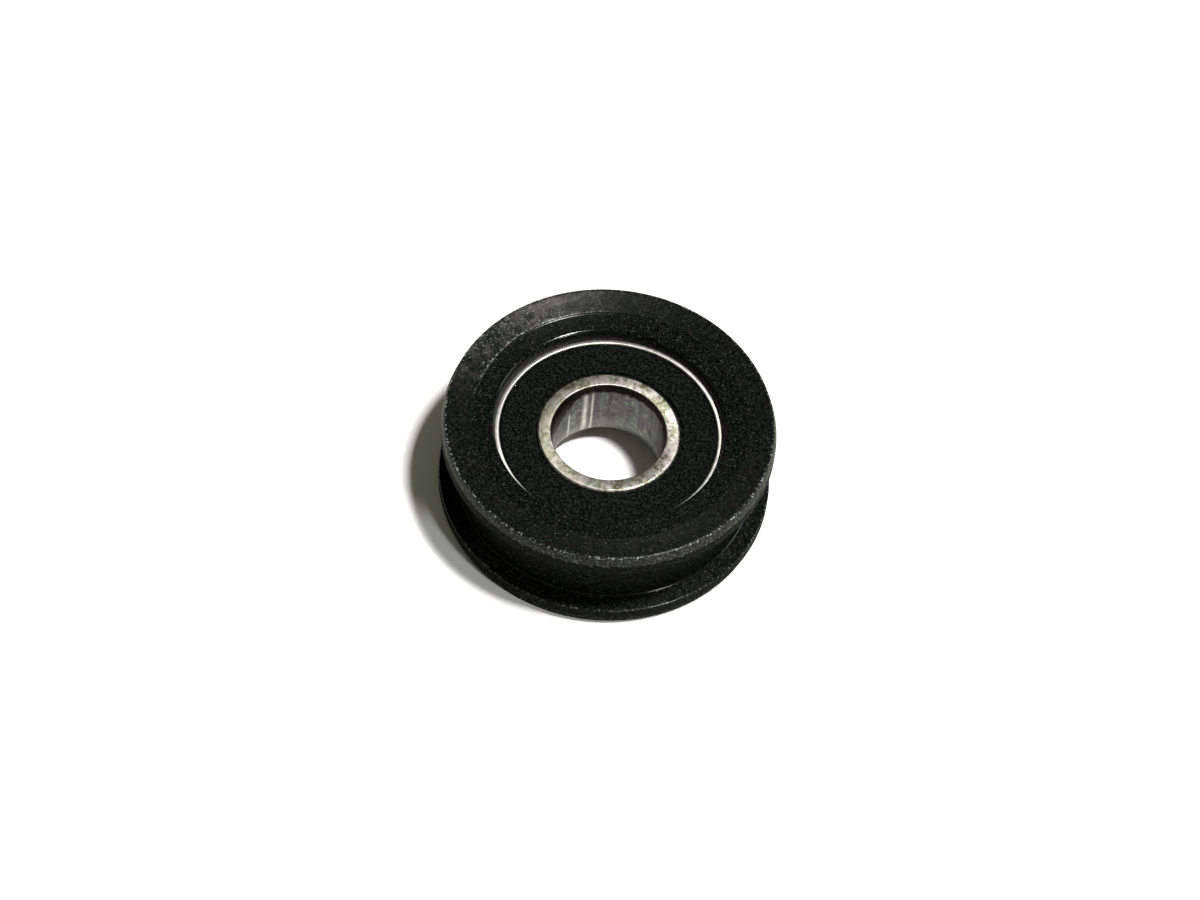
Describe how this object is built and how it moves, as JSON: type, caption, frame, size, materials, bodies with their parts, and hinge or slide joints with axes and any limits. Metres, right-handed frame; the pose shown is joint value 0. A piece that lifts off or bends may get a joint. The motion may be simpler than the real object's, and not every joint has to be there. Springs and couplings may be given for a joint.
{
  "type": "flanged idler pulley",
  "caption": "Flanged idler pulley: black moulded wheel with a flat belt track between two flanges, on a sealed ball bearing.",
  "frame": {"origin": "middle of the bearing's bore, halfway between the two flange faces", "axes": "+Z along the bore axis; the part is alike above and below"},
  "size_m": [0.0572, 0.0572, 0.019],
  "materials": {
    "pulley": "black moulded plastic with a satin turned look",
    "inner_ring": "ground bearing steel",
    "outer_ring": "ground bearing steel",
    "seal": "matt black nitrile rubber",
    "insert": "pressed sheet steel",
    "cage": "pressed strip steel",
    "ball": "polished hardened steel",
    "rivet": "headed steel rivet"
  },
  "bodies": {
    "inner_race": {"inner_ring": "inner_ring"},
    "pulley": {"pulley_body": "pulley", "outer_ring": "outer_ring", "seal_top": "seal", "seal_bottom": "seal", "seal_insert_top": "insert", "seal_insert_bottom": "insert"},
    "cage": {"cage_top": "cage", "cage_bottom": "cage", "cage_rivet_1": "rivet", "cage_rivet_2": "rivet", "cage_rivet_3": "rivet", "cage_rivet_4": "rivet", "cage_rivet_5": "rivet", "cage_rivet_6": "rivet", "cage_rivet_7": "rivet", "cage_rivet_8": "rivet", "cage_rivet_9": "rivet"},
    "ball_1": {"ball_1": "ball"},
    "ball_2": {"ball_2": "ball"},
    "ball_3": {"ball_3": "ball"},
    "ball_4": {"ball_4": "ball"},
    "ball_5": {"ball_5": "ball"},
    "ball_6": {"ball_6": "ball"},
    "ball_7": {"ball_7": "ball"},
    "ball_8": {"ball_8": "ball"},
    "ball_9": {"ball_9": "ball"}
  },
  "joints": [
    {"name": "pulley_spin", "type": "hinge", "parent": "inner_race", "child": "pulley", "pos_m": [0, 0, 0], "axis": [0, 0, 1], "continuous": true},
    {"name": "cage_spin", "type": "hinge", "parent": "inner_race", "child": "cage", "pos_m": [0, 0, 0], "axis": [0, 0, 1], "continuous": true},
    {"name": "ball_1_spin", "type": "hinge", "parent": "cage", "child": "ball_1", "pos_m": [0.01508, 0, 0], "axis": [0, 0, 1], "continuous": true},
    {"name": "ball_2_spin", "type": "hinge", "parent": "cage", "child": "ball_2", "pos_m": [0.01155, 0.00969, 0], "axis": [0, 0, 1], "continuous": true},
    {"name": "ball_3_spin", "type": "hinge", "parent": "cage", "child": "ball_3", "pos_m": [0.00262, 0.01485, 0], "axis": [0, 0, 1], "continuous": true},
    {"name": "ball_4_spin", "type": "hinge", "parent": "cage", "child": "ball_4", "pos_m": [-0.00754, 0.01306, 0], "axis": [0, 0, 1], "continuous": true},
    {"name": "ball_5_spin", "type": "hinge", "parent": "cage", "child": "ball_5", "pos_m": [-0.01417, 0.00516, 0], "axis": [0, 0, 1], "continuous": true},
    {"name": "ball_6_spin", "type": "hinge", "parent": "cage", "child": "ball_6", "pos_m": [-0.01417, -0.00516, 0], "axis": [0, 0, 1], "continuous": true},
    {"name": "ball_7_spin", "type": "hinge", "parent": "cage", "child": "ball_7", "pos_m": [-0.00754, -0.01306, 0], "axis": [0, 0, 1], "continuous": true},
    {"name": "ball_8_spin", "type": "hinge", "parent": "cage", "child": "ball_8", "pos_m": [0.00262, -0.01485, 0], "axis": [0, 0, 1], "continuous": true},
    {"name": "ball_9_spin", "type": "hinge", "parent": "cage", "child": "ball_9", "pos_m": [0.01155, -0.00969, 0], "axis": [0, 0, 1], "continuous": true}
  ],
  "couplings": [
    {"joint": "cage_spin", "follows": "pulley_spin", "ratio": 0.60526},
    {"joint": "ball_1_spin", "follows": "pulley_spin", "ratio": 2.2697},
    {"joint": "ball_2_spin", "follows": "pulley_spin", "ratio": 2.2697},
    {"joint": "ball_3_spin", "follows": "pulley_spin", "ratio": 2.2697},
    {"joint": "ball_4_spin", "follows": "pulley_spin", "ratio": 2.2697},
    {"joint": "ball_5_spin", "follows": "pulley_spin", "ratio": 2.2697},
    {"joint": "ball_6_spin", "follows": "pulley_spin", "ratio": 2.2697},
    {"joint": "ball_7_spin", "follows": "pulley_spin", "ratio": 2.2697},
    {"joint": "ball_8_spin", "follows": "pulley_spin", "ratio": 2.2697},
    {"joint": "ball_9_spin", "follows": "pulley_spin", "ratio": 2.2697}
  ]
}
